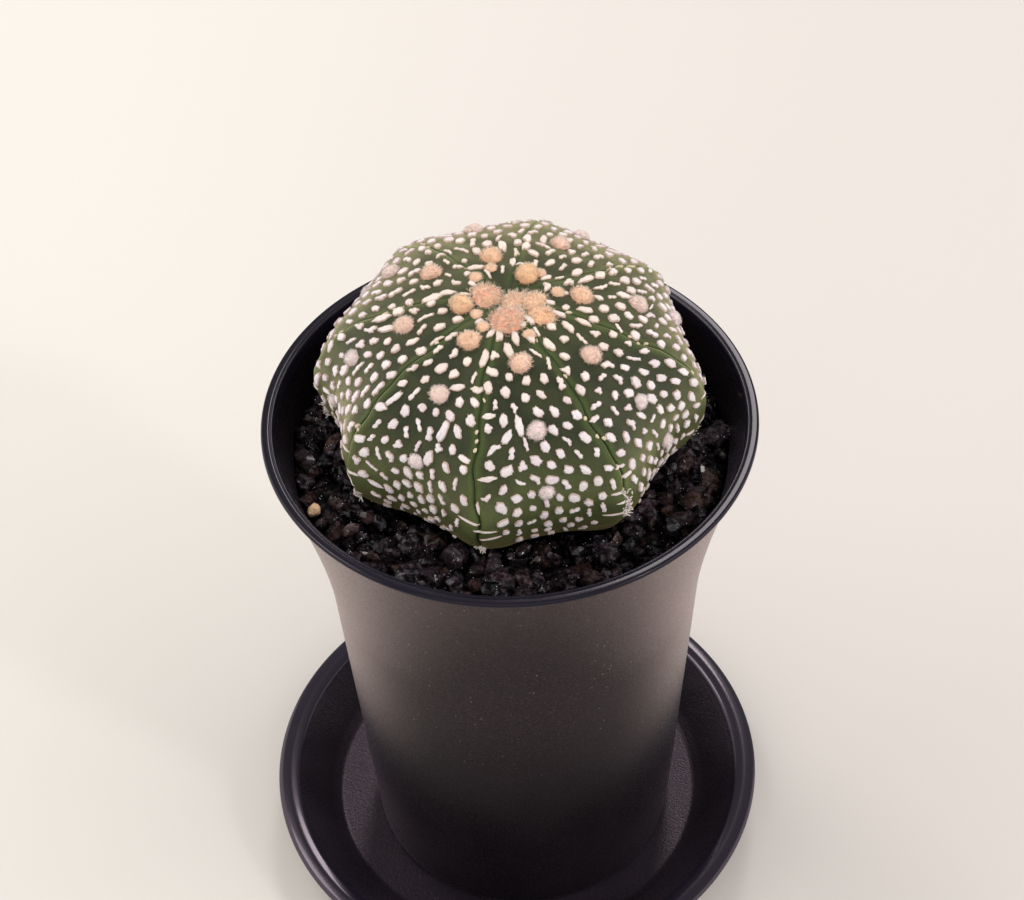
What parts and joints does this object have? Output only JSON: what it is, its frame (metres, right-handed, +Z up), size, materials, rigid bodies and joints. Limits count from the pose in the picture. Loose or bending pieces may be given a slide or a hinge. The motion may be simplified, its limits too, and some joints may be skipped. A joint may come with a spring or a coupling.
{
  "type": "potted star cactus",
  "caption": "Low ribbed globe cactus with felted flecks and woolly tufts, bedded in black gravel in a deep flared plastic pot that stands in a round saucer.",
  "frame": {"origin": "centre of the saucer's underside, on the surface it stands on", "axes": "+Z up, out of the pot; the view it was modelled from looks along +Y from above, with +X to the right"},
  "size_m": [0.1196, 0.1196, 0.1708],
  "materials": {
    "saucer_plastic": "satin black moulded plastic",
    "pot_plastic": "fine-grained matt black plastic with a glossier rim",
    "pumice": "coarse pale pumice",
    "soil": "gritty brown mineral cactus mix",
    "lava_gravel": "angular black lava grains with a few glints",
    "cactus_skin": "matt waxy green skin with raised felted flecks",
    "areole_wool": "short dense cream to pinkish wool"
  },
  "bodies": {
    "root": {"saucer": "saucer_plastic", "pot": "pot_plastic", "drainage_stones": "pumice", "potting_soil": "soil", "gravel_top_dressing": "lava_gravel", "cactus_body": "cactus_skin", "crown_wool": "areole_wool", "rib1_areole1": "areole_wool", "rib1_areole2": "areole_wool", "rib1_areole3": "areole_wool", "rib1_areole4": "areole_wool", "rib2_areole1": "areole_wool", "rib2_areole2": "areole_wool", "rib2_areole3": "areole_wool", "rib2_areole4": "areole_wool", "rib3_areole1": "areole_wool", "rib3_areole2": "areole_wool", "rib3_areole3": "areole_wool", "rib3_areole4": "areole_wool", "rib4_areole1": "areole_wool", "rib4_areole2": "areole_wool", "rib4_areole3": "areole_wool", "rib4_areole4": "areole_wool", "rib4_areole5": "areole_wool", "rib5_areole1": "areole_wool", "rib5_areole2": "areole_wool", "rib5_areole3": "areole_wool", "rib5_areole4": "areole_wool", "rib6_areole1": "areole_wool", "rib6_areole2": "areole_wool", "rib6_areole3": "areole_wool", "rib6_areole4": "areole_wool", "rib7_areole1": "areole_wool", "rib7_areole2": "areole_wool", "rib7_areole3": "areole_wool", "rib7_areole4": "areole_wool", "rib7_areole5": "areole_wool", "rib8_areole1": "areole_wool", "rib8_areole2": "areole_wool", "rib8_areole3": "areole_wool", "rib8_areole4": "areole_wool"}
  },
  "joints": []
}
